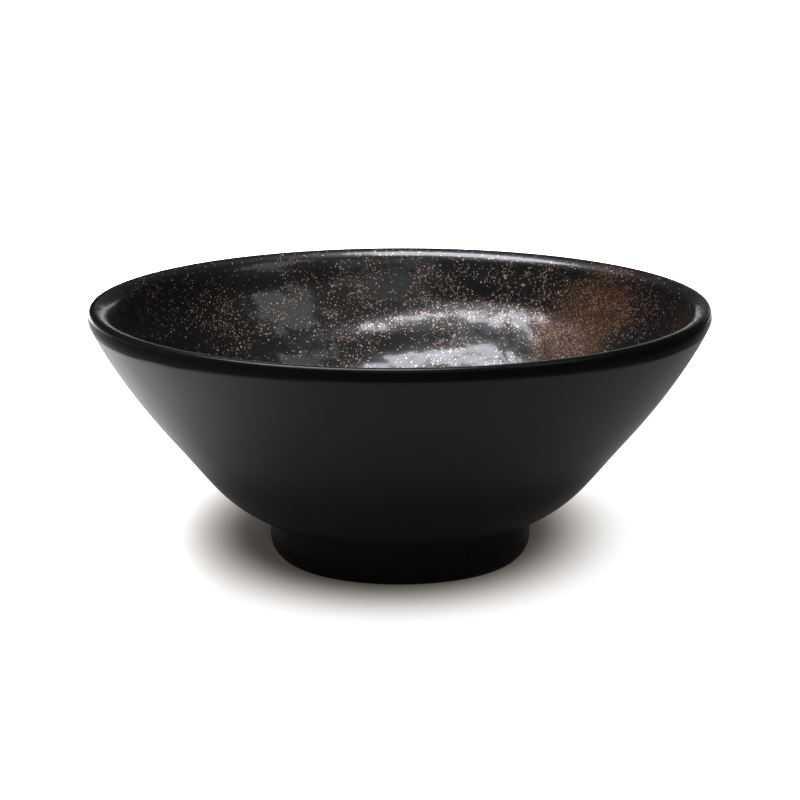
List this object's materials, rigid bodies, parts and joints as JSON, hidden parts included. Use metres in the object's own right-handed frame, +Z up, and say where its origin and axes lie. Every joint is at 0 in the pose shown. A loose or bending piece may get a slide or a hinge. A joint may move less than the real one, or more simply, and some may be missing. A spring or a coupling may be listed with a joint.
{
  "type": "bowl",
  "caption": "Round footed bowl with a flared wall, a rounded lip and a soft rippled inside, matt outside and glossy with metallic flecks inside.",
  "frame": {"origin": "middle of the foot ring's underside, on the table", "axes": "+Z up along the bowl's axis; X and Y level, and the form is the same all round"},
  "size_m": [0.2, 0.2, 0.084],
  "materials": {
    "black_melamine": "satin-matt outside, glossy and flecked inside"
  },
  "bodies": {
    "root": {"bowl": "black_melamine"}
  },
  "joints": []
}
